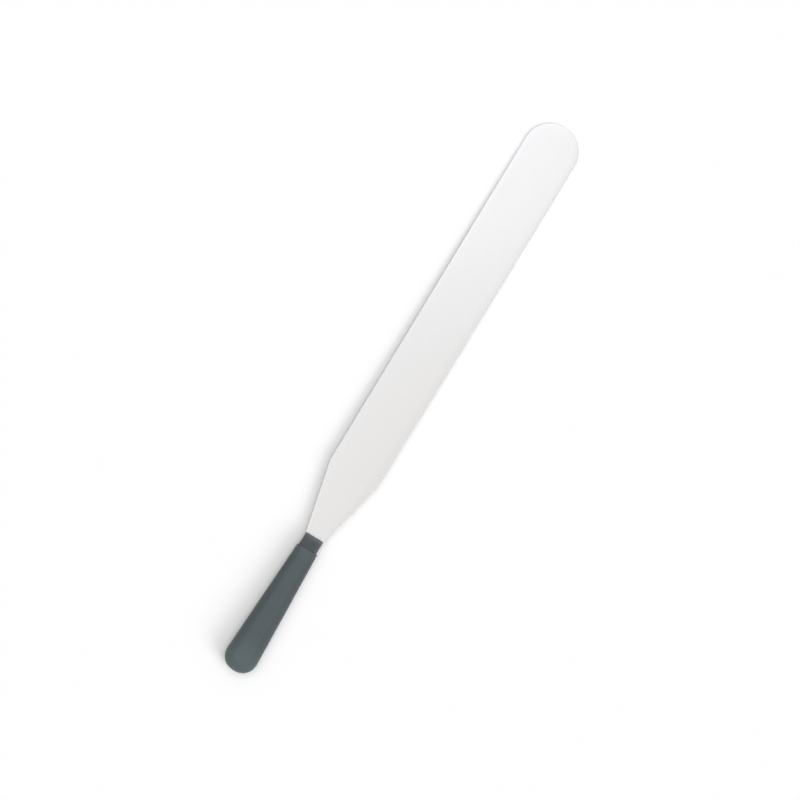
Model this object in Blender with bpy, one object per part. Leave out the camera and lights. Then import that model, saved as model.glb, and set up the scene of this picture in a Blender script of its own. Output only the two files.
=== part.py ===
"""Crepe spatula: a long round-tipped steel blade, its tang pinned in a moulded handle core under a soft grip.

Metres, +Z up. The pieces are modelled on a bench frame: its origin is on the blade's mid-plane at the front
face of the collar, +X runs to the blade's tip and +Z is the blade's upper face. The empty that carries them
lays the spatula on a table, touching it with the grip's belly and the blade's tip, with the world origin on
the table under the middle of the spatula.
"""

import math
from collections import namedtuple

import bmesh
import bpy
from mathutils import Matrix, Vector

# Room left between pieces that touch on the real spatula.
FIT_GAP = 0.0003

# Blade.
BLADE_LENGTH = 0.350
BLADE_TIP_WIDTH = 0.0413
BLADE_HEEL_WIDTH = 0.0396
BLADE_THICKNESS = 0.0012
HEEL_TAPER_LENGTH = 0.0543
HEEL_CORNER_RADIUS = 0.025
NECK_WIDTH = 0.015
GROUND_EDGE_WIDTH = 0.0015
GROUND_EDGE_THICKNESS = 0.0007
EDGE_ROUNDING = 0.0002

# Tang and the pins that lock it.
HANDLE_BEYOND_TANG = 0.0387
TANG_CORNER_RADIUS = 0.0025
PIN_COUNT = 2
PIN_DIAMETER = 0.003
PIN_RECESS = 0.0002
PIN_CHAMFER = 0.0003

# Collar, the bare front end of the handle core.
COLLAR_LENGTH = 0.0102
COLLAR_WIDTH = 0.0147
COLLAR_THICKNESS = 0.0098
COLLAR_SIDE_WALL = 0.00235
COLLAR_ROUNDING = 0.0006
COLLAR_SQUARENESS = 3.2

# Grip, the soft skin over the rest of the core.
HANDLE_LENGTH = 0.1137
GRIP_STEP = 0.001
GRIP_BUTT_WIDTH = 0.0251
GRIP_BUTT_THICKNESS = 0.0165
BUTT_FLAT_WIDTH = 0.0088
GRIP_SKIN = 0.0016
GRIP_FRONT_ROUNDING = 0.0011
GRIP_SQUARENESS = 2.5
BUTT_DOME_LENGTH = 0.0125
BUTT_DOME_SQUARENESS = 2.2
BUTT_COVER = 0.004

# Grooves round the core that key the grip to it.
KEY_GROOVE_WIDTH = 0.003
KEY_GROOVE_DEPTH = 0.0008

# How finely the round shapes are drawn.
TIP_STEPS = 18
CORNER_STEPS = 4
QUARTER_POINTS = 11
ROUNDING_STEPS = 4
DOME_STEPS = 10
PIN_SIDES = 24
SMOOTH_ANGLE = math.radians(32)

# How far a cutter runs past what it cuts.
CUTTER_MARGIN = 0.004

Look = namedtuple("Look", "colour roughness metallic")
BLADE_STEEL = Look((0.80, 0.80, 0.79), 0.28, 1.0)
PIN_STEEL = Look((0.62, 0.62, 0.61), 0.40, 1.0)
HARD_PLASTIC = Look((0.088, 0.098, 0.104), 0.42, 0.0)
SOFT_PLASTIC = Look((0.095, 0.112, 0.118), 0.62, 0.0)

# A cross-section of the handle: how far it lies behind the collar's face, its half sizes, how square it is.
Station = namedtuple("Station", "behind half_width half_thickness squareness")

tang_length = HANDLE_LENGTH - HANDLE_BEYOND_TANG
tang_width = COLLAR_WIDTH - 2 * (COLLAR_SIDE_WALL + FIT_GAP)
grip_start = COLLAR_LENGTH + FIT_GAP
dome_start = HANDLE_LENGTH - BUTT_DOME_LENGTH
# The flats across the handle's top and belly take the same share of its width from the butt to the collar.
flat_share = BUTT_FLAT_WIDTH / GRIP_BUTT_WIDTH


def clear_scene():
    for item in list(bpy.data.objects):
        bpy.data.objects.remove(item)


def make_material(name, look):
    made = bpy.data.materials.new(name)
    made.use_nodes = True
    shader = made.node_tree.nodes["Principled BSDF"]
    shader.inputs["Base Color"].default_value = (*look.colour, 1.0)
    shader.inputs["Roughness"].default_value = look.roughness
    shader.inputs["Metallic"].default_value = look.metallic
    return made


def add_object(name, shape, parent):
    """Turns a bmesh into an object under the parent, smooth but for its sharp edges."""
    bmesh.ops.recalc_face_normals(shape, faces=shape.faces)
    mesh = bpy.data.meshes.new(name)
    shape.to_mesh(mesh)
    shape.free()
    mesh.shade_smooth()
    mesh.set_sharp_from_angle(angle=SMOOTH_ANGLE)
    made = bpy.data.objects.new(name, mesh)
    made.parent = parent
    bpy.context.scene.collection.objects.link(made)
    return made


def add_piece(name, shape, parent, look):
    piece = add_object(name, shape, parent)
    piece.data.materials.append(make_material(name, look))
    return piece


def add_cutter(name, shape, parent):
    cutter = add_object(name, shape, parent)
    cutter.hide_render = True
    cutter.display_type = "WIRE"
    return cutter


def cut(piece, *cutters):
    for cutter in cutters:
        modifier = piece.modifiers.new(cutter.name, "BOOLEAN")
        modifier.operation = "DIFFERENCE"
        modifier.object = cutter


def fillet(before, corner, after, radius):
    """Points of the arc that rounds an outline's corner, from the side before it to the side after it."""
    corner = Vector(corner)
    to_before = (Vector(before) - corner).normalized()
    to_after = (Vector(after) - corner).normalized()
    half_angle = to_before.angle(to_after) / 2
    centre = corner + (to_before + to_after).normalized() * (radius / math.sin(half_angle))
    touch_distance = radius / math.tan(half_angle)
    first_arm = corner + to_before * touch_distance - centre
    last_arm = corner + to_after * touch_distance - centre
    # Vector.angle_signed counts clockwise turns as positive, and a rotation matrix the other way.
    turn = -first_arm.angle_signed(last_arm)
    steps = [turn * step / CORNER_STEPS for step in range(CORNER_STEPS + 1)]
    return [centre + Matrix.Rotation(angle, 2) @ first_arm for angle in steps]


def blade_half_outline(inset):
    """The blade in plan on the +Y side, from its tip back to the neck, drawn in by the inset.

    With its mirror image it leaves a short facet across the very end of the tip.
    """
    tip_radius = BLADE_TIP_WIDTH / 2
    tip_centre = Vector((BLADE_LENGTH - tip_radius, 0))
    neck = Vector((FIT_GAP, NECK_WIDTH / 2))
    heel = Vector((HEEL_TAPER_LENGTH, BLADE_HEEL_WIDTH / 2))
    shoulder = Vector((tip_centre.x, tip_radius))
    taper = (heel - neck).normalized()
    side = (shoulder - heel).normalized()
    taper_inward = Vector((taper.y, -taper.x))
    side_inward = Vector((side.y, -side.x))
    neck_in = neck - Vector((0, inset / taper.x))
    heel_in = heel + (taper_inward + side_inward) * (inset / (1 + taper_inward.dot(side_inward)))
    shoulder_in = shoulder - Vector((0, inset))
    points = []
    for step in range(TIP_STEPS + 1):
        angle = math.pi / 2 * (step + 0.5) / (TIP_STEPS + 0.5)
        points.append(tip_centre + Vector((math.cos(angle), math.sin(angle))) * (tip_radius - inset))
    return points + fillet(shoulder_in, heel_in, neck_in, HEEL_CORNER_RADIUS - inset) + [neck_in]


def tang_half_outline(start, grow):
    """The tang in plan on the +Y side, from its start to its rounded end, with room all round it."""
    half_width = tang_width / 2 + grow
    end = -tang_length - grow
    radius = min(TANG_CORNER_RADIUS, tang_width / 2) + grow
    return [Vector((start, half_width))] + fillet((0, half_width), (end, half_width), (end, 0), radius)


def whole_outline(half):
    """The half outline on the +Y side joined to its mirror image, as one loop."""
    mirrored = [Vector((point.x, -point.y)) for point in reversed(half) if point.y > 0]
    return half + mirrored


def add_loop(shape, points, height):
    return [shape.verts.new((point.x, point.y, height)) for point in points]


def bridge(shape, lower, upper):
    """Faces between two rings of corners. A ring of one corner is a pole."""
    for index in range(max(len(lower), len(upper))):
        following = index + 1
        corners = [lower[index % len(lower)]]
        if len(lower) > 1:
            corners.append(lower[following % len(lower)])
        if len(upper) > 1:
            corners.append(upper[following % len(upper)])
        corners.append(upper[index % len(upper)])
        shape.faces.new(corners)


def build_blade(parent):
    """Blade and tang are one stamping. The blade's rim is ground thinner on both faces, and rounded."""
    half_tang = tang_half_outline(FIT_GAP, 0.0)
    half_rim = blade_half_outline(0.0)
    rim = whole_outline(half_rim + half_tang)
    flat = whole_outline(blade_half_outline(GROUND_EDGE_WIDTH) + half_tang)
    shape = bmesh.new()
    loops = [
        add_loop(shape, flat, -BLADE_THICKNESS / 2),
        add_loop(shape, rim, -GROUND_EDGE_THICKNESS / 2),
        add_loop(shape, rim, GROUND_EDGE_THICKNESS / 2),
        add_loop(shape, flat, BLADE_THICKNESS / 2),
    ]
    for lower, upper in zip(loops, loops[1:]):
        bridge(shape, lower, upper)
    # The tang's first and last corners in a loop are its two roots, where it leaves the blade.
    first_root = len(half_rim)
    last_root = first_root + 2 * len(half_tang) - 1
    for loop in (loops[0], loops[3]):
        shape.faces.new(loop[first_root : last_root + 1])
        shape.faces.new(loop[last_root:] + loop[: first_root + 1])
    rounded = shape.edges.layers.float.new("bevel_weight_edge")
    for loop in loops[1:3]:
        blade_edge = loop[last_root + 1 :] + loop[:first_root]
        for start, end in zip(blade_edge, blade_edge[1:]):
            shape.edges.get((start, end))[rounded] = 1.0
    blade = add_piece("blade", shape, parent, BLADE_STEEL)
    rounding = blade.modifiers.new("rim_rounding", "BEVEL")
    rounding.limit_method = "WEIGHT"
    rounding.width = EDGE_ROUNDING
    rounding.segments = 2
    return blade


def section(station):
    """The (y, z) points round a cross-section: a superellipse between its two flats."""
    power = 2 / station.squareness
    flat_angle = math.acos(flat_share ** (1 / power))
    quarter = []
    for index in range(QUARTER_POINTS):
        angle = flat_angle * (index + 0.5) / (QUARTER_POINTS - 0.5)
        y = station.half_width * math.cos(angle) ** power
        z = station.half_thickness * (math.sin(angle) / math.sin(flat_angle)) ** power
        quarter.append((y, z))
    upper = quarter + [(-y, z) for y, z in reversed(quarter)]
    return upper + [(y, -z) for y, z in reversed(upper)]


def loft(stations):
    """A closed body through cross-sections, from front to back. One of no width is a pole."""
    shape = bmesh.new()
    rings = []
    for station in stations:
        points = section(station) if station.half_width > 0 else [(0, 0)]
        rings.append([shape.verts.new((-station.behind, y, z)) for y, z in points])
    for lower, upper in zip(rings, rings[1:]):
        bridge(shape, lower, upper)
    for ring in (rings[0], rings[-1]):
        if len(ring) > 1:
            shape.faces.new(ring)
    return shape


def collar_station(behind):
    return Station(behind, COLLAR_WIDTH / 2, COLLAR_THICKNESS / 2, COLLAR_SQUARENESS)


def grip_station(behind):
    """The grip's cross-section ahead of the butt's dome: it flares evenly from the collar to the dome."""
    share = (behind - grip_start) / (dome_start - grip_start)
    front_width = COLLAR_WIDTH / 2 + GRIP_STEP
    front_thickness = COLLAR_THICKNESS / 2 + GRIP_STEP
    half_width = front_width + (GRIP_BUTT_WIDTH / 2 - front_width) * share
    half_thickness = front_thickness + (GRIP_BUTT_THICKNESS / 2 - front_thickness) * share
    return Station(behind, half_width, half_thickness, GRIP_SQUARENESS)


def offset(station, outward):
    return station._replace(
        half_width=station.half_width + outward, half_thickness=station.half_thickness + outward
    )


def core_station(behind):
    """The core's cross-section under the grip."""
    return offset(grip_station(behind), -GRIP_SKIN - FIT_GAP)


def rounded_front(start, rounding, station_at):
    """The stations of a front end whose corner is rounded over, from its face back."""
    stations = []
    for step in range(ROUNDING_STEPS + 1):
        angle = math.pi / 2 * step / ROUNDING_STEPS
        behind = start + rounding * (1 - math.cos(angle))
        stations.append(offset(station_at(behind), rounding * (math.sin(angle) - 1)))
    return stations


def dome(base, length):
    """The stations of a rounded butt end, after its base and down to its pole."""
    stations = []
    for step in range(1, DOME_STEPS + 1):
        angle = math.pi / 2 * step / DOME_STEPS
        behind = base.behind + length * math.sin(angle) ** (2 / BUTT_DOME_SQUARENESS)
        share = math.cos(angle) ** (2 / BUTT_DOME_SQUARENESS) if step < DOME_STEPS else 0.0
        stations.append(
            Station(behind, base.half_width * share, base.half_thickness * share, base.squareness)
        )
    return stations


def pin_distances():
    """How far each pin lies behind the collar's face. They share the covered part of the tang evenly."""
    covered = tang_length - COLLAR_LENGTH
    return [COLLAR_LENGTH + covered * (index + 0.5) / PIN_COUNT for index in range(PIN_COUNT)]


def groove_distances():
    """One key groove between each two pins, and one between the tang's end and the butt's dome."""
    pins = pin_distances()
    between = [(first + second) / 2 for first, second in zip(pins, pins[1:])]
    return between + [(tang_length + dome_start) / 2]


def covered_core(start, grow):
    """The stations of the core under the grip, from its start to the butt end, with room all round it."""
    stations = [offset(core_station(start), grow)]
    for middle in groove_distances():
        half_groove = KEY_GROOVE_WIDTH / 2 - grow
        front = offset(core_station(middle - half_groove), grow)
        back = offset(core_station(middle + half_groove), grow)
        stations += [front, offset(front, -KEY_GROOVE_DEPTH), offset(back, -KEY_GROOVE_DEPTH), back]
    base = offset(core_station(dome_start), grow)
    return stations + [base] + dome(base, BUTT_DOME_LENGTH - BUTT_COVER + grow)


def build_core(parent):
    """One hard moulding: the bare collar in front, and behind it the keyed carrier for the grip."""
    collar = rounded_front(0.0, COLLAR_ROUNDING, collar_station) + [collar_station(COLLAR_LENGTH)]
    return add_piece("handle_core", loft(collar + covered_core(COLLAR_LENGTH, 0.0)), parent, HARD_PLASTIC)


def grip_stations():
    base = grip_station(dome_start)
    front = rounded_front(grip_start, GRIP_FRONT_ROUNDING, grip_station)
    return front + [base] + dome(base, BUTT_DOME_LENGTH)


def build_grip(parent):
    """The soft skin over the core, closed at the butt."""
    grip = add_piece("grip_skin", loft(grip_stations()), parent, SOFT_PLASTIC)
    core_room = loft(covered_core(COLLAR_LENGTH - CUTTER_MARGIN, FIT_GAP))
    cut(grip, add_cutter("core_room", core_room, parent))


def build_tang_slot(parent):
    """The cutter for the blind slot that takes the tang, open at the collar's face."""
    outline = whole_outline(tang_half_outline(CUTTER_MARGIN, FIT_GAP))
    half_height = BLADE_THICKNESS / 2 + FIT_GAP
    shape = bmesh.new()
    lower = add_loop(shape, outline, -half_height)
    upper = add_loop(shape, outline, half_height)
    bridge(shape, lower, upper)
    shape.faces.new(lower)
    shape.faces.new(upper)
    return add_cutter("tang_slot", shape, parent)


def round_bar(radius, half_length, chamfer):
    """A round bar along Z about its own middle, its ends chamfered where there is a chamfer."""
    profile = [(radius, half_length - chamfer)]
    if chamfer > 0:
        profile.append((radius - chamfer, half_length))
    profile = [(ring_radius, -height) for ring_radius, height in reversed(profile)] + profile
    turns = [math.tau * index / PIN_SIDES for index in range(PIN_SIDES)]
    shape = bmesh.new()
    rings = []
    for ring_radius, height in profile:
        points = [Vector((math.cos(turn), math.sin(turn))) * ring_radius for turn in turns]
        rings.append(add_loop(shape, points, height))
    for lower, upper in zip(rings, rings[1:]):
        bridge(shape, lower, upper)
    shape.faces.new(rings[0])
    shape.faces.new(rings[-1])
    return shape


def build_pins(parent):
    """Steel pins through core and tang, sunk a little below the core's faces. Returns the holes' cutters."""
    holes = []
    for number, behind in enumerate(pin_distances(), start=1):
        radius = PIN_DIAMETER / 2
        half_length = core_station(behind - radius).half_thickness - PIN_RECESS
        bar = round_bar(radius, half_length, PIN_CHAMFER)
        pin = add_piece(f"tang_pin_{number}", bar, parent, PIN_STEEL)
        bore = round_bar(radius + FIT_GAP, half_length + CUTTER_MARGIN, 0.0)
        hole = add_cutter(f"pin_hole_{number}", bore, parent)
        pin.location.x = -behind
        hole.location.x = -behind
        holes.append(hole)
    return holes


def lay_on_table(carrier):
    """Tilts the carrier so that belly and blade tip touch the table, with the origin under the middle."""
    tip_x = blade_half_outline(GROUND_EDGE_WIDTH)[0].x
    tip_z = -BLADE_THICKNESS / 2
    slopes = [
        (tip_z + station.half_thickness) / (tip_x + station.behind) for station in grip_stations()
    ]
    tilt = math.atan(max(slopes))
    middle_x = (BLADE_LENGTH - HANDLE_LENGTH) / 2
    carrier.rotation_euler.y = tilt
    carrier.location.x = -middle_x * math.cos(tilt)
    carrier.location.z = tip_x * math.sin(tilt) - tip_z * math.cos(tilt)


def main():
    clear_scene()
    carrier = bpy.data.objects.new("lying_on_table", None)
    bpy.context.scene.collection.objects.link(carrier)
    blade = build_blade(carrier)
    core = build_core(carrier)
    build_grip(carrier)
    holes = build_pins(carrier)
    cut(blade, *holes)
    cut(core, build_tang_slot(carrier), *holes)
    lay_on_table(carrier)


main()
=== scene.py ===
import math
from collections import namedtuple

import bmesh
import bpy
from mathutils import Matrix, Vector


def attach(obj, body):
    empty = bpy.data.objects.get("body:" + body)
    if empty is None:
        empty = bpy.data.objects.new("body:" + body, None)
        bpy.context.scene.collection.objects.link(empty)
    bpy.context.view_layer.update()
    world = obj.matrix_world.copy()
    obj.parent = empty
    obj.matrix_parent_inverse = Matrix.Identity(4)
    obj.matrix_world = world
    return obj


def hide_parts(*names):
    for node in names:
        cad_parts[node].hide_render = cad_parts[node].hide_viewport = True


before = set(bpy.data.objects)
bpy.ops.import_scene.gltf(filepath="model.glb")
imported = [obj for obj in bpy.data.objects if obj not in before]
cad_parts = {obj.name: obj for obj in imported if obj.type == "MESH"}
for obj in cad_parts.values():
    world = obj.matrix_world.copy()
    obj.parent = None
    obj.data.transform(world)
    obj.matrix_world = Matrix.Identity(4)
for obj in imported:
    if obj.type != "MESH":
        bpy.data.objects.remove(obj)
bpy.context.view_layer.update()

Station = namedtuple("Station", "behind half_width half_thickness squareness")
Noise = namedtuple("Noise", "waves detail roughness seed")
Relief = namedtuple("Relief", "depth strength")
Plastic = namedtuple("Plastic", "grain mottle dark light worn rough relief gloss")
Panel = namedtuple("Panel", "name corner size height glow")

# The spatula's own sizes, in metres, as its solids have them
FIT_GAP = 0.0003
BLADE_LENGTH = 0.350
BLADE_TIP_WIDTH = 0.0413
BLADE_HEEL_WIDTH = 0.0396
BLADE_THICKNESS = 0.0012
HEEL_TAPER_LENGTH = 0.0543
HEEL_CORNER_RADIUS = 0.025
NECK_WIDTH = 0.015
TANG_LENGTH = 0.075
TANG_WIDTH = 0.0094
TANG_CORNER_RADIUS = 0.0025
PIN_DIAMETER = 0.003
PIN_DISTANCES = (0.0264, 0.0588)
COLLAR_LENGTH = 0.0102
COLLAR_WIDTH = 0.0147
COLLAR_THICKNESS = 0.0098
COLLAR_ROUNDING = 0.0006
COLLAR_SQUARENESS = 3.2
HANDLE_LENGTH = 0.1137
GRIP_STEP = 0.001
GRIP_BUTT_WIDTH = 0.0251
GRIP_BUTT_THICKNESS = 0.0165
BUTT_FLAT_WIDTH = 0.0088
GRIP_SKIN = 0.0016
GRIP_SQUARENESS = 2.5
BUTT_DOME_LENGTH = 0.0125
BUTT_DOME_SQUARENESS = 2.2
BUTT_COVER = 0.004
KEY_GROOVE_DISTANCES = (0.0426, 0.0881)
KEY_GROOVE_WIDTH = 0.003
KEY_GROOVE_DEPTH = 0.0008
# The solids' tip ends in a short facet, this far behind the end of the full arc.
TIP_FACET_DEPTH = 0.00002
# This far ahead of the collar's face, the tip's lower face touches the table.
TIP_CONTACT = 0.348483

GRIP_START = COLLAR_LENGTH + FIT_GAP
DOME_START = HANDLE_LENGTH - BUTT_DOME_LENGTH
FLAT_SHARE = BUTT_FLAT_WIDTH / GRIP_BUTT_WIDTH

# Finer forms than the solids have
GRIP_FRONT_ROUNDING = 0.0007
RIM_NOSE_RADIUS = 0.00025
GROUND_EDGE_THICKNESS = 0.0008
GROUND_EDGE_REACH = 0.0042
HEEL_EDGE_REACH = 0.0068
NECK_EDGE_REACH = 0.0016
EDGE_FADE_BEHIND = 0.030
EDGE_FADE_AHEAD = 0.075
# A narrow band of the flat beside the ground edge keeps the shading of the one off the other.
CREASE_MARGIN = 0.0005
# Pieces that touch on the real spatula lie this close where their joint shows.
SEEN_GAP = 0.00004
# Cutters stand this far out of what they cut.
CUTTER_MARGIN = 0.004

# How finely curves are drawn
TIP_STEPS = 48
CORNER_STEPS = 12
NOSE_STEPS = 5
CROWN_STEPS = 8
QUARTER_POINTS = 30
ROUNDING_STEPS = 9
COLLAR_STEPS = 12
FLARE_STEPS = 36
DOME_STEPS = 26
CUTTER_SIDES = 48
SMOOTH_ANGLE = math.radians(35)

# Painted light on the handle's plastics, from 0 to 1, and the spans behind the collar's face over
# which it comes or goes
# Painted light on the butt's dome, standing in for light from behind it
PAINTED_BUTT_LIGHT_SPAN = (0.080, 0.112)
# Painted highlight on the grip's front shoulder, which also paints out the shade of the step
PAINTED_FRONT_HIGHLIGHT = 0.28
PAINTED_FRONT_HIGHLIGHT_SPAN = (0.010, 0.022)
# Painted highlight along the collar's rounded front edge
PAINTED_COLLAR_HIGHLIGHT_SPAN = (-0.0002, 0.0046)
# The painted sheen on the top and the belly comes between these upright parts of the surface's
# normal.
PAINTED_CROWN_SHEEN = 0.31
PAINTED_SHEEN_NORMALS = (0.945, 0.995)
# Painted highlights on the collar's four long corners come between these distances to the side.
PAINTED_CORNER_HIGHLIGHT = 0.2
PAINTED_CORNER_HIGHLIGHT_SPAN = (0.0044, 0.0058)

# Materials, with a noise's waves to the metre along X, Y and Z, and a relief's depth in metres
BLADE_STREAKS = Noise((26, 4200, 4200), 3.0, 0.6, 1.0)
BLADE_CLOUDS = Noise((16, 34, 34), 3.0, 0.55, 2.0)
BLADE_STREAK_TONES = ((0.765, 0.749, 0.733), (0.829, 0.813, 0.798))
BLADE_CLOUD_TONE = (0.795, 0.779, 0.764)
BLADE_RIM_TONE = (0.792, 0.779, 0.767)
BLADE_STREAK_ROUGHNESS = (0.22, 0.34)
BLADE_CLOUD_ROUGHNESS = (-0.02, 0.03)
BLADE_RIM_ROUGHNESS = -0.07
BLADE_STREAK_RELIEF = Relief(0.00001, 0.25)
BLADE_CLOUD_RELIEF = Relief(0.0004, 0.12)
PIN_STREAKS = Noise((2200, 2200, 60), 3.0, 0.5, 3.0)
PIN_TONES = ((0.56, 0.56, 0.55), (0.68, 0.68, 0.67))
PIN_ROUGHNESS = (0.34, 0.46)
PIN_RELIEF = Relief(0.00001, 0.4)
# Between two tones, a slow noise goes from the one to the other within this band.
TONE_BAND = (0.3, 0.7)
GRAIN_ROUGHNESS = (-0.04, 0.04)
HARD_PLASTIC = Plastic(
    grain=Noise((2600, 2600, 2600), 2.0, 0.6, 5.0),
    mottle=Noise((55, 90, 90), 4.0, 0.6, 6.0),
    dark=(0.049, 0.059, 0.064),
    light=(0.058, 0.069, 0.074),
    # Tone of the painted highlights and sheen
    worn=(0.110, 0.120, 0.126),
    rough=(0.40, 0.48),
    relief=Relief(0.00009, 0.6),
    gloss={"Specular IOR Level": 0.45},
)
SOFT_PLASTIC = Plastic(
    grain=Noise((2100, 2100, 2100), 2.0, 0.6, 7.0),
    mottle=Noise((55, 90, 90), 4.0, 0.6, 8.0),
    dark=(0.057, 0.073, 0.080),
    light=(0.066, 0.083, 0.090),
    # Tone of the painted highlights and sheen
    worn=(0.093, 0.123, 0.127),
    rough=(0.52, 0.62),
    relief=Relief(0.00016, 0.6),
    gloss={"Specular IOR Level": 0.4, "Sheen Weight": 0.08, "Sheen Roughness": 0.5},
)
WHITE = (1.0, 1.0, 1.0)
FLOOR_TONE = (0.985, 0.985, 0.985)
FLOOR_REACH = 12.0

# Light, with 1 for white, and angles in degrees
ROOM_HORIZON = 0.15
# The room's light grows by this towards the zenith, as this power of the height.
ROOM_OVERHEAD = 2.374
ROOM_POWER = 5.5
# The camera and reflections see the room as nearly even white.
BACKDROP_HORIZON = 1.0
BACKDROP_OVERHEAD = 0.94
# The key lamp gives this share of the light on the floor.
KEY_SHARE = 0.23
KEY_ELEVATION = 36
KEY_AZIMUTH = -102
KEY_ANGLE = 34
# Panels that show only as gloss, each with its lowest corner and its size along X and Y.
PANELS = (
    Panel("tip_panel", corner=(0.12, -0.12), size=(0.6, 0.66), height=0.65, glow=0.245),
    Panel("side_panel", corner=(-0.26, -0.02), size=(0.66, 0.52), height=0.2, glow=0.11),
)
PANEL_COLOUR = (0.78, 0.86, 1.0)

# Camera, straight above the floor, in metres
CAMERA_DISTANCE = 8.0
FRAME_WIDTH = 0.5832
FRAME_MIDDLE = (-0.00060, -0.00088)
# These directions on the floor are the picture's right and up.
CAMERA_RIGHT = (0.52126, -0.85340, 0)
CAMERA_UP = (0.85340, 0.52126, 0)
SENSOR_WIDTH = 36.0
CLIP_END = 60.0


def lying():
    """The move from the bench frame, where the pieces are made, to the table.

    The bench frame's origin is on the blade's mid-plane at the collar's face.
    """
    rise = GRIP_BUTT_THICKNESS / 2 - BLADE_THICKNESS / 2
    tilt = math.atan(rise / (TIP_CONTACT + DOME_START))
    middle = (BLADE_LENGTH - HANDLE_LENGTH) / 2
    height = TIP_CONTACT * math.sin(tilt) + BLADE_THICKNESS / 2 * math.cos(tilt)
    return Matrix.Translation((-middle * math.cos(tilt), 0, height)) @ Matrix.Rotation(tilt, 4, "Y")


def add_object(name, shape):
    """Puts a finished shape into the scene."""
    bmesh.ops.recalc_face_normals(shape, faces=shape.faces)
    mesh = bpy.data.meshes.new(name)
    shape.to_mesh(mesh)
    shape.free()
    made = bpy.data.objects.new(name, mesh)
    bpy.context.scene.collection.objects.link(made)
    return made


def add_band(shape, lower, upper, closed=False):
    """Four-sided faces between two rows of points. Closed rows are joined round their ends too."""
    for index in range(len(lower) if closed else len(lower) - 1):
        following = (index + 1) % len(lower)
        shape.faces.new((lower[index], lower[following], upper[following], upper[index]))


def cut(piece, *cutters):
    """Cuts the cutters out of the piece for good, and takes them away."""
    for cutter in cutters:
        modifier = piece.modifiers.new(cutter.name, "BOOLEAN")
        modifier.operation = "DIFFERENCE"
        modifier.solver = "EXACT"
        modifier.object = cutter
    bpy.context.view_layer.update()
    evaluated = piece.evaluated_get(bpy.context.evaluated_depsgraph_get())
    mesh = bpy.data.meshes.new_from_object(evaluated)
    piece.modifiers.clear()
    piece.data = mesh
    for cutter in cutters:
        bpy.data.objects.remove(cutter)


def dress(piece, node, material):
    """Lays a finished piece on the table, smooths it and puts it in its node's place."""
    piece.data.transform(lying())
    piece.data.shade_smooth()
    piece.data.set_sharp_from_angle(angle=SMOOTH_ANGLE)
    piece.data.materials.clear()
    piece.data.materials.append(material)
    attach(piece, "root")
    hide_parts(node)


def fillet(before, corner, after, radius):
    """Points of the arc that rounds a corner, from the side before it to the side after it."""
    corner = Vector(corner)
    to_before = (Vector(before) - corner).normalized()
    to_after = (Vector(after) - corner).normalized()
    half_angle = to_before.angle(to_after) / 2
    centre = corner + (to_before + to_after).normalized() * (radius / math.sin(half_angle))
    touch = radius / math.tan(half_angle)
    first_arm = corner + to_before * touch - centre
    last_arm = corner + to_after * touch - centre
    turn = -first_arm.angle_signed(last_arm)
    steps = [turn * step / CORNER_STEPS for step in range(CORNER_STEPS + 1)]
    return [centre + Matrix.Rotation(angle, 2) @ first_arm for angle in steps]


def mirrored(half):
    """The +Y half of an outline, and its mirror image from where it ends back to its start."""
    return half + [Vector((point.x, -point.y)) for point in reversed(half)]


def blade_chain(inset, neck_x):
    """The blade in plan, drawn in by the inset, from its neck's +Y corner round the tip.

    The last point is the neck's -Y corner. Both corners lie at neck_x.
    """
    radius = BLADE_TIP_WIDTH / 2
    centre = Vector((BLADE_LENGTH - TIP_FACET_DEPTH - radius, 0))
    neck = Vector((SEEN_GAP, NECK_WIDTH / 2))
    heel = Vector((HEEL_TAPER_LENGTH, BLADE_HEEL_WIDTH / 2))
    shoulder = Vector((centre.x, radius))
    taper = (heel - neck).normalized()
    side = (shoulder - heel).normalized()
    taper_inward = Vector((taper.y, -taper.x))
    side_inward = Vector((side.y, -side.x))
    neck_in = neck - Vector((0, inset / taper.x)) + taper * ((neck_x - SEEN_GAP) / taper.x)
    heel_in = heel + (taper_inward + side_inward) * (inset / (1 + taper_inward.dot(side_inward)))
    shoulder_in = shoulder - Vector((0, inset))
    tip = []
    for step in range(TIP_STEPS):
        angle = math.pi / 2 * (step + 0.5) / (TIP_STEPS - 0.5)
        tip.append(centre + Vector((math.cos(angle), math.sin(angle))) * (radius - inset))
    half = tip + fillet(shoulder_in, heel_in, neck_in, HEEL_CORNER_RADIUS - inset) + [neck_in]
    return mirrored(half[::-1])


def tang_outline(start, room):
    """The tang in plan with room round it, from its +Y root round its end to the -Y one."""
    half_width = TANG_WIDTH / 2 + room
    end = -TANG_LENGTH - room
    corner = fillet((0, half_width), (end, half_width), (end, 0), TANG_CORNER_RADIUS + room)
    return mirrored([Vector((start, half_width))] + corner)


def edge_width(x):
    """How far the ground edge reaches in: most at the heel, and less at the neck than ahead."""
    if x < HEEL_TAPER_LENGTH:
        least, fade = NECK_EDGE_REACH, EDGE_FADE_BEHIND
    else:
        least, fade = GROUND_EDGE_REACH, EDGE_FADE_AHEAD
    from_heel = (x - HEEL_TAPER_LENGTH) / fade
    return least + (HEEL_EDGE_REACH - least) * math.exp(-from_heel * from_heel)


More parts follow.
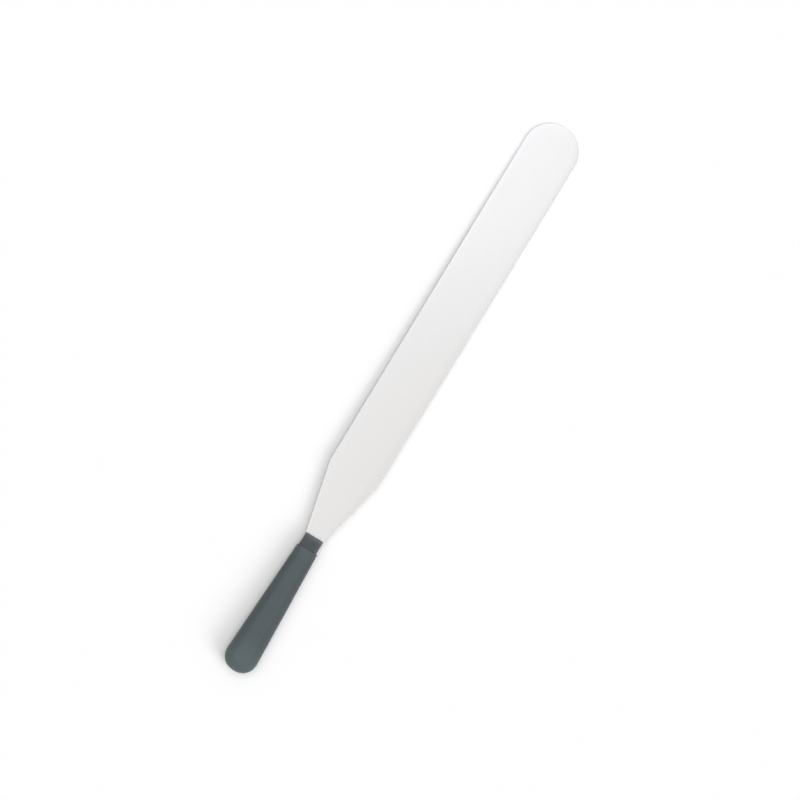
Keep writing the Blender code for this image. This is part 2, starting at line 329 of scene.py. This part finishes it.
def rim_levels():
    """The rim's upper half from its nose to the flat.

    Each level is a fixed inset, a share of the ground edge's width, and a height.
    """
    fall = (BLADE_THICKNESS - GROUND_EDGE_THICKNESS) / 2
    slope = 2 * fall / GROUND_EDGE_REACH
    turn = math.pi / 2 - math.atan(slope)
    touch = RIM_NOSE_RADIUS * (1 - math.cos(turn))
    nose_height = GROUND_EDGE_THICKNESS / 2 + slope * touch - RIM_NOSE_RADIUS * math.sin(turn)
    levels = []
    for step in range(NOSE_STEPS + 1):
        angle = turn * step / NOSE_STEPS
        inset = RIM_NOSE_RADIUS * (1 - math.cos(angle))
        levels.append((inset, 0.0, nose_height + RIM_NOSE_RADIUS * math.sin(angle)))
    start = levels[-1][2]
    for step in range(1, CROWN_STEPS + 1):
        share = step / CROWN_STEPS
        height = start + (BLADE_THICKNESS / 2 - start) * (2 - share) * share
        levels.append((touch * (1 - share), share, height))
    return levels


def add_flat(shape, outer, inward, height):
    """Closes one side of the blade and its tang within the ground edge.

    Returns the tang's points.
    """
    inner = []
    for point, step in zip(blade_chain(0.0, SEEN_GAP + CREASE_MARGIN), inward):
        place = point + step * (edge_width(point.x) + CREASE_MARGIN)
        inner.append(shape.verts.new((place.x, place.y, height)))
    add_band(shape, outer, inner)
    tang = [shape.verts.new((point.x, point.y, height)) for point in tang_outline(SEEN_GAP, 0.0)]
    shape.faces.new((outer[0], inner[0], tang[0]))
    shape.faces.new((outer[-1], tang[-1], inner[-1]))
    shape.faces.new(inner + [tang[-1], tang[0]])
    shape.faces.new(tang)
    return tang


def build_blade():
    """The blade with its ground and rounded rim, and the tang in one with it."""
    outline = blade_chain(0.0, SEEN_GAP)
    drawn_in = blade_chain(CREASE_MARGIN, SEEN_GAP)
    inward = [(inner - outer) / CREASE_MARGIN for inner, outer in zip(drawn_in, outline)]
    upper_rim = rim_levels()
    lower_rim = [(inset, share, -height) for inset, share, height in reversed(upper_rim)]
    shape = bmesh.new()
    rim = shape.verts.layers.float.new("rim")
    chains = []
    for inset, share, height in lower_rim + upper_rim:
        chain = []
        for point, step in zip(outline, inward):
            place = point + step * (inset + share * edge_width(point.x))
            vert = shape.verts.new((place.x, place.y, height))
            vert[rim] = (1.0 - share) ** 2
            chain.append(vert)
        chains.append(chain)
    for lower, upper in zip(chains, chains[1:]):
        add_band(shape, lower, upper)
    lower_tang = add_flat(shape, chains[0], inward, -BLADE_THICKNESS / 2)
    upper_tang = add_flat(shape, chains[-1], inward, BLADE_THICKNESS / 2)
    add_band(shape, lower_tang, upper_tang)
    for end in (0, -1):
        shape.faces.new([lower_tang[end]] + [chain[end] for chain in chains] + [upper_tang[end]])
    blade = add_object("steel_blade", shape)
    cut(blade, *map(pin_hole, PIN_DISTANCES))
    return blade


def pin_hole(behind):
    """A cutter for the hole that a pin runs through."""
    radius = PIN_DIAMETER / 2 + FIT_GAP
    shape = bmesh.new()
    bmesh.ops.create_cone(
        shape,
        cap_ends=True,
        segments=CUTTER_SIDES,
        radius1=radius,
        radius2=radius,
        depth=2 * (GRIP_BUTT_THICKNESS / 2 + CUTTER_MARGIN),
        matrix=Matrix.Translation((-behind, 0, 0)),
    )
    return add_object("pin_hole", shape)


def tang_slot():
    """A cutter for the slot that the tang fills."""
    outline = tang_outline(CUTTER_MARGIN, SEEN_GAP)
    half_height = BLADE_THICKNESS / 2 + SEEN_GAP
    shape = bmesh.new()
    lower = [shape.verts.new((point.x, point.y, -half_height)) for point in outline]
    upper = [shape.verts.new((point.x, point.y, half_height)) for point in outline]
    add_band(shape, lower, upper, closed=True)
    shape.faces.new(lower)
    shape.faces.new(upper)
    return add_object("tang_slot", shape)


def section(station):
    """Points round a cross-section: a superellipse whose top and belly ease into flats."""
    power = 2 / station.squareness
    flat_angle = math.acos(FLAT_SHARE ** (1 / power))
    crown = station.half_thickness / math.sin(flat_angle) ** power
    ease = crown - station.half_thickness
    quarter = []
    for index in range(QUARTER_POINTS):
        angle = math.pi / 2 * (index + 0.5) / QUARTER_POINTS
        y = station.half_width * math.cos(angle) ** power
        z = crown * math.sin(angle) ** power
        overlap = max(ease - abs(z - station.half_thickness), 0)
        z = min(z, station.half_thickness) - overlap * overlap / (4 * ease)
        quarter.append((y, z))
    upper = quarter + [(-y, z) for y, z in reversed(quarter)]
    return upper + [(y, -z) for y, z in reversed(upper)]


def loft(name, stations):
    """A closed body through cross-sections. One of no width is a pole."""
    shape = bmesh.new()
    rings = []
    for station in stations:
        points = section(station) if station.half_width > 0 else [(0, 0)]
        rings.append([shape.verts.new((-station.behind, y, z)) for y, z in points])
    for lower, upper in zip(rings, rings[1:]):
        for index in range(max(len(lower), len(upper))):
            corners = [lower[index % len(lower)]]
            if len(lower) > 1:
                corners.append(lower[(index + 1) % len(lower)])
            if len(upper) > 1:
                corners.append(upper[(index + 1) % len(upper)])
            corners.append(upper[index % len(upper)])
            shape.faces.new(corners)
    for ring in (rings[0], rings[-1]):
        if len(ring) > 1:
            shape.faces.new(ring)
    return add_object(name, shape)


def collar_station(behind):
    """The collar's cross-section, which is the same all along it."""
    return Station(behind, COLLAR_WIDTH / 2, COLLAR_THICKNESS / 2, COLLAR_SQUARENESS)


def grip_station(behind):
    """The grip's cross-section, which grows evenly from its front to the butt's dome."""
    share = (behind - GRIP_START) / (DOME_START - GRIP_START)
    front_width = COLLAR_WIDTH / 2 + GRIP_STEP
    front_thickness = COLLAR_THICKNESS / 2 + GRIP_STEP
    half_width = front_width + (GRIP_BUTT_WIDTH / 2 - front_width) * share
    half_thickness = front_thickness + (GRIP_BUTT_THICKNESS / 2 - front_thickness) * share
    return Station(behind, half_width, half_thickness, GRIP_SQUARENESS)


def offset(station, outward):
    """A station grown outward all round."""
    return station._replace(
        half_width=station.half_width + outward, half_thickness=station.half_thickness + outward
    )


def rounded_front(start, rounding, station_at):
    """Stations round a body's front edge."""
    stations = []
    for step in range(ROUNDING_STEPS + 1):
        angle = math.pi / 2 * step / ROUNDING_STEPS
        behind = start + rounding * (1 - math.cos(angle))
        stations.append(offset(station_at(behind), rounding * (math.sin(angle) - 1)))
    return stations


def stations_between(first, last, steps, station_at):
    """Evenly spaced stations from after the first distance up to the last one."""
    return [station_at(first + (last - first) * (step / steps)) for step in range(1, steps + 1)]


def dome(base, length):
    """Stations from after the base to the pole of a round end."""
    stations = []
    for step in range(1, DOME_STEPS + 1):
        angle = math.pi / 2 * step / DOME_STEPS
        behind = base.behind + length * math.sin(angle) ** (2 / BUTT_DOME_SQUARENESS)
        share = math.cos(angle) ** (2 / BUTT_DOME_SQUARENESS) if step < DOME_STEPS else 0.0
        stations.append(
            Station(behind, base.half_width * share, base.half_thickness * share, base.squareness)
        )
    return stations


def covered_core(start, grow):
    """The core under the grip, from its start to the butt end, grown all round."""
    inward = grow - GRIP_SKIN - FIT_GAP
    stations = [offset(grip_station(start), inward)]
    for middle in KEY_GROOVE_DISTANCES:
        half_groove = KEY_GROOVE_WIDTH / 2 - grow
        front = offset(grip_station(middle - half_groove), inward)
        back = offset(grip_station(middle + half_groove), inward)
        stations += [front, offset(front, -KEY_GROOVE_DEPTH), offset(back, -KEY_GROOVE_DEPTH), back]
    base = offset(grip_station(DOME_START), inward)
    return stations + [base] + dome(base, BUTT_DOME_LENGTH - BUTT_COVER + grow)


def build_core():
    """The hard core with the tang's slot and the pins' holes. Its front end is the bare collar."""
    front = rounded_front(0.0, COLLAR_ROUNDING, collar_station)
    collar = stations_between(COLLAR_ROUNDING, COLLAR_LENGTH, COLLAR_STEPS, collar_station)
    core = loft("hard_core", front + collar + covered_core(COLLAR_LENGTH, 0.0))
    cut(core, tang_slot(), *map(pin_hole, PIN_DISTANCES))
    # Paints highlights into the collar's colour.
    mark_painted_light(core, core_painted_light)
    return core


def build_grip():
    """The skin as one closed shell.

    It goes outside from the butt's pole to the front, then inside back to its other pole.
    """
    start = COLLAR_LENGTH + SEEN_GAP
    front = rounded_front(start, GRIP_FRONT_ROUNDING, grip_station)
    flare = stations_between(front[-1].behind, DOME_START, FLARE_STEPS, grip_station)
    outside = front + flare + dome(flare[-1], BUTT_DOME_LENGTH)
    inside = covered_core(start, FIT_GAP)
    grip = loft("soft_grip", outside[::-1] + inside)
    # Paints highlights and sheen into the grip's colour.
    mark_painted_light(grip, grip_painted_light)
    return grip


def eased(value, low, high):
    """0 below low, 1 above high, and a smooth rise between."""
    share = min(max((value - low) / (high - low), 0.0), 1.0)
    return share * share * (3 - 2 * share)


def mark_painted_light(piece, painted_light_at):
    """Marks how much painted light makes each place of a piece paler, from 0 to 1."""
    painted_light = piece.data.attributes.new("painted_light", "FLOAT", "POINT")
    for vertex in piece.data.vertices:
        painted_light.data[vertex.index].value = min(painted_light_at(vertex), 1.0)


def grip_painted_light(vertex):
    """Painted light: most at the butt, painted sheen along the top and the belly, and a painted
    highlight at the front.
    """
    level = eased(abs(vertex.normal.z), *PAINTED_SHEEN_NORMALS)
    butt = eased(-vertex.co.x, *PAINTED_BUTT_LIGHT_SPAN)
    front = 1.0 - eased(-vertex.co.x, *PAINTED_FRONT_HIGHLIGHT_SPAN)
    return PAINTED_CROWN_SHEEN * level + PAINTED_FRONT_HIGHLIGHT * front + (1.0 - PAINTED_CROWN_SHEEN) * butt


def core_painted_light(vertex):
    """Painted highlights: most along the collar's front edge, and some along its four long corners.
    """
    front = 1.0 - eased(-vertex.co.x, *PAINTED_COLLAR_HIGHLIGHT_SPAN)
    corner = eased(abs(vertex.co.y), *PAINTED_CORNER_HIGHLIGHT_SPAN)
    return front + PAINTED_CORNER_HIGHLIGHT * corner


class Nodes:
    """Short calls for building the nodes of a material or of the world."""

    def __init__(self, tree):
        self.tree = tree

    def put(self, value, socket):
        """Gives a socket a number, a vector, a colour or another node's output."""
        if isinstance(value, bpy.types.NodeSocket):
            self.tree.links.new(value, socket)
        elif socket.type == "RGBA":
            socket.default_value = (*value, 1.0)
        else:
            socket.default_value = value

    def fill(self, node, inputs):
        """Gives several sockets of a node their values by name."""
        for name, value in inputs.items():
            self.put(value, node.inputs[name])

    def new(self, kind, inputs):
        """A shader node with some sockets filled."""
        node = self.tree.nodes.new("ShaderNode" + kind)
        self.fill(node, inputs)
        return node

    def attribute(self, name):
        """A number that the mesh carries at each of its points."""
        node = self.new("Attribute", {})
        node.attribute_name = name
        return node.outputs["Fac"]

    def noise(self, kind):
        """A noise from 0 to 1 in the piece's own space."""
        place = self.new("TexCoord", {}).outputs["Object"]
        stretched = self.new("Mapping", {"Vector": place, "Scale": kind.waves})
        node = self.new("TexNoise", {})
        node.noise_dimensions = "4D"
        self.fill(node, {
            "Vector": stretched.outputs["Vector"],
            "W": kind.seed,
            "Scale": 1.0,
            "Detail": kind.detail,
            "Roughness": kind.roughness,
        })
        return node.outputs["Fac"]

    def spread(self, value, target, source=(0.0, 1.0)):
        """Maps the source's range onto the target's."""
        node = self.new("MapRange", {
            "Value": value,
            "From Min": source[0],
            "From Max": source[1],
            "To Min": target[0],
            "To Max": target[1],
        })
        return node.outputs["Result"]

    def math(self, operation, first, second):
        """A sum, product or other result of two numbers."""
        node = self.new("Math", {})
        node.operation = operation
        self.put(first, node.inputs[0])
        self.put(second, node.inputs[1])
        return node.outputs["Value"]

    def mix(self, factor, first, second):
        """A colour between two others."""
        node = self.new("Mix", {"Factor": factor})
        node.data_type = "RGBA"
        first_socket, second_socket = [socket for socket in node.inputs if socket.type == "RGBA"]
        self.put(first, first_socket)
        self.put(second, second_socket)
        return [socket for socket in node.outputs if socket.type == "RGBA"][0]

    def bump(self, height, relief):
        """A bump node, which tilts the surface's normal by a relief."""
        return self.new("Bump", {
            "Height": height,
            "Distance": relief.depth,
            "Strength": relief.strength,
        })


def new_material(name):
    """A material, the calls that build its nodes, and its shader."""
    material = bpy.data.materials.new(name)
    material.use_nodes = True
    tree = material.node_tree
    return material, Nodes(tree), tree.nodes["Principled BSDF"]


def satin_steel():
    """Stainless steel ground along the blade, slightly wavy, and a little smoother at its rim."""
    material, make, shader = new_material("satin_steel")
    streaks = make.noise(BLADE_STREAKS)
    clouds = make.noise(BLADE_CLOUDS)
    rim = make.attribute("rim")
    streaky = make.mix(streaks, *BLADE_STREAK_TONES)
    cloudy = make.mix(make.spread(clouds, (0.0, 1.0), TONE_BAND), streaky, BLADE_CLOUD_TONE)
    streak_roughness = make.spread(streaks, BLADE_STREAK_ROUGHNESS)
    cloud_roughness = make.spread(clouds, BLADE_CLOUD_ROUGHNESS)
    satin = make.math("ADD", streak_roughness, cloud_roughness)
    smoother = make.math("MULTIPLY", rim, BLADE_RIM_ROUGHNESS)
    waves = make.bump(clouds, BLADE_CLOUD_RELIEF)
    scratches = make.bump(streaks, BLADE_STREAK_RELIEF)
    make.put(waves.outputs["Normal"], scratches.inputs["Normal"])
    make.fill(shader, {
        "Base Color": make.mix(rim, cloudy, BLADE_RIM_TONE),
        "Metallic": 1.0,
        "Roughness": make.math("ADD", satin, smoother),
        "Normal": scratches.outputs["Normal"],
    })
    return material


def drawn_steel():
    """Plain steel wire, drawn along the pins."""
    material, make, shader = new_material("drawn_steel")
    streaks = make.noise(PIN_STREAKS)
    make.fill(shader, {
        "Base Color": make.mix(streaks, *PIN_TONES),
        "Metallic": 1.0,
        "Roughness": make.spread(streaks, PIN_ROUGHNESS),
        "Normal": make.bump(streaks, PIN_RELIEF).outputs["Normal"],
    })
    return material


def moulded(name, plastic):
    """Dark plastic with a fine grain and a slow mottling, painted paler where highlights and sheen
    fall.
    """
    material, make, shader = new_material(name)
    grain = make.noise(plastic.grain)
    mottle = make.noise(plastic.mottle)
    mottled = make.mix(make.spread(mottle, (0.0, 1.0), TONE_BAND), plastic.dark, plastic.light)
    mottle_roughness = make.spread(mottle, plastic.rough)
    grain_roughness = make.spread(grain, GRAIN_ROUGHNESS)
    make.fill(shader, {
        # The base colour turns to the painted light's tone where the mesh marks painted highlights
        # and sheen.
        "Base Color": make.mix(make.attribute("painted_light"), mottled, plastic.worn),
        "Roughness": make.math("ADD", mottle_roughness, grain_roughness),
        "Normal": make.bump(grain, plastic.relief).outputs["Normal"],
        **plastic.gloss,
    })
    return material


def finish_pins():
    """Gives the two hidden pins their steel. They stay as the solids have them."""
    material = drawn_steel()
    for name in ("tang_pin_1", "tang_pin_2"):
        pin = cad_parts[name]
        pin.data.materials.clear()
        pin.data.materials.append(material)


def build_floor():
    """A white floor under the spatula."""
    shape = bmesh.new()
    bmesh.ops.create_grid(shape, x_segments=1, y_segments=1, size=FLOOR_REACH)
    floor = add_object("floor", shape)
    material = bpy.data.materials.new("white_floor")
    material.use_nodes = True
    material.node_tree.nodes.clear()
    make = Nodes(material.node_tree)
    diffuse = make.new("BsdfDiffuse", {"Color": FLOOR_TONE})
    make.new("OutputMaterial", {"Surface": diffuse.outputs["BSDF"]})
    floor.data.materials.append(material)


def build_room():
    """A white room that lights mostly from overhead, and shows as nearly even white."""
    world = bpy.data.worlds.new("white_room")
    world.use_nodes = True
    bpy.context.scene.world = world
    world.node_tree.nodes.clear()
    make = Nodes(world.node_tree)
    path = make.new("LightPath", {}).outputs
    seen = make.math("MAXIMUM", path["Is Camera Ray"], path["Is Glossy Ray"])
    seen = make.math("MAXIMUM", seen, path["Is Transmission Ray"])
    direction = make.new("TexCoord", {}).outputs["Generated"]
    upward = make.new("SeparateXYZ", {"Vector": direction}).outputs["Z"]
    height = make.math("MAXIMUM", upward, 0.0)
    overhead = make.math("MULTIPLY", make.math("POWER", height, ROOM_POWER), ROOM_OVERHEAD)
    fill_strength = make.math("ADD", overhead, ROOM_HORIZON)
    fill = make.new("Background", {"Color": WHITE, "Strength": fill_strength})
    fall = make.math("MULTIPLY", height, BACKDROP_OVERHEAD - BACKDROP_HORIZON)
    backdrop_strength = make.math("ADD", fall, BACKDROP_HORIZON)
    backdrop = make.new("Background", {"Color": WHITE, "Strength": backdrop_strength})
    blend = make.new("MixShader", {"Fac": seen})
    make.put(fill.outputs["Background"], blend.inputs[1])
    make.put(backdrop.outputs["Background"], blend.inputs[2])
    make.new("OutputWorld", {"Surface": blend.outputs["Shader"]})


def add_lamp(name, data, place, aim):
    """A lamp at its place, shining at the aim."""
    lamp = bpy.data.objects.new(name, data)
    lamp.location = place
    lamp.rotation_euler = (Vector(place) - Vector(aim)).to_track_quat("Z", "Y").to_euler()
    bpy.context.scene.collection.objects.link(lamp)
    return lamp


def build_lamps():
    """One large soft key lamp from the -Y side, and the panels, which only gloss shows."""
    key = bpy.data.lights.new("key", "SUN")
    key.angle = math.radians(KEY_ANGLE)
    up, turn = math.radians(KEY_ELEVATION), math.radians(KEY_AZIMUTH)
    key.energy = KEY_SHARE * math.pi / math.sin(up)
    place = (math.cos(turn), math.sin(turn), math.tan(up))
    add_lamp("key", key, place, (0, 0, 0)).visible_glossy = False

    for name, corner, size, height, glow in PANELS:
        panel = bpy.data.lights.new(name, "AREA")
        panel.shape = "RECTANGLE"
        panel.size, panel.size_y = size
        panel.color = PANEL_COLOUR
        panel.energy = glow * math.pi * size[0] * size[1]
        place = Vector((corner[0] + size[0] / 2, corner[1] + size[1] / 2, height))
        holder = add_lamp(name, panel, place, (place.x, place.y, 0))
        holder.visible_camera = False
        holder.visible_diffuse = False


def build_camera():
    """The photo's view, straight down on the table."""
    camera = bpy.data.cameras.new("photo")
    camera.sensor_width = SENSOR_WIDTH
    camera.lens = SENSOR_WIDTH * CAMERA_DISTANCE / FRAME_WIDTH
    camera.clip_end = CLIP_END
    holder = bpy.data.objects.new("photo", camera)
    turn = Matrix((CAMERA_RIGHT, CAMERA_UP, (0, 0, 1))).transposed().to_4x4()
    holder.matrix_world = Matrix.Translation((*FRAME_MIDDLE, CAMERA_DISTANCE)) @ turn
    bpy.context.scene.collection.objects.link(holder)
    bpy.context.scene.camera = holder


dress(build_blade(), "blade", satin_steel())
dress(build_core(), "handle_core", moulded("hard_plastic", HARD_PLASTIC))
dress(build_grip(), "grip_skin", moulded("soft_plastic", SOFT_PLASTIC))
finish_pins()
build_floor()
build_room()
build_lamps()
build_camera()
bpy.context.scene.view_settings.view_transform = "Standard"
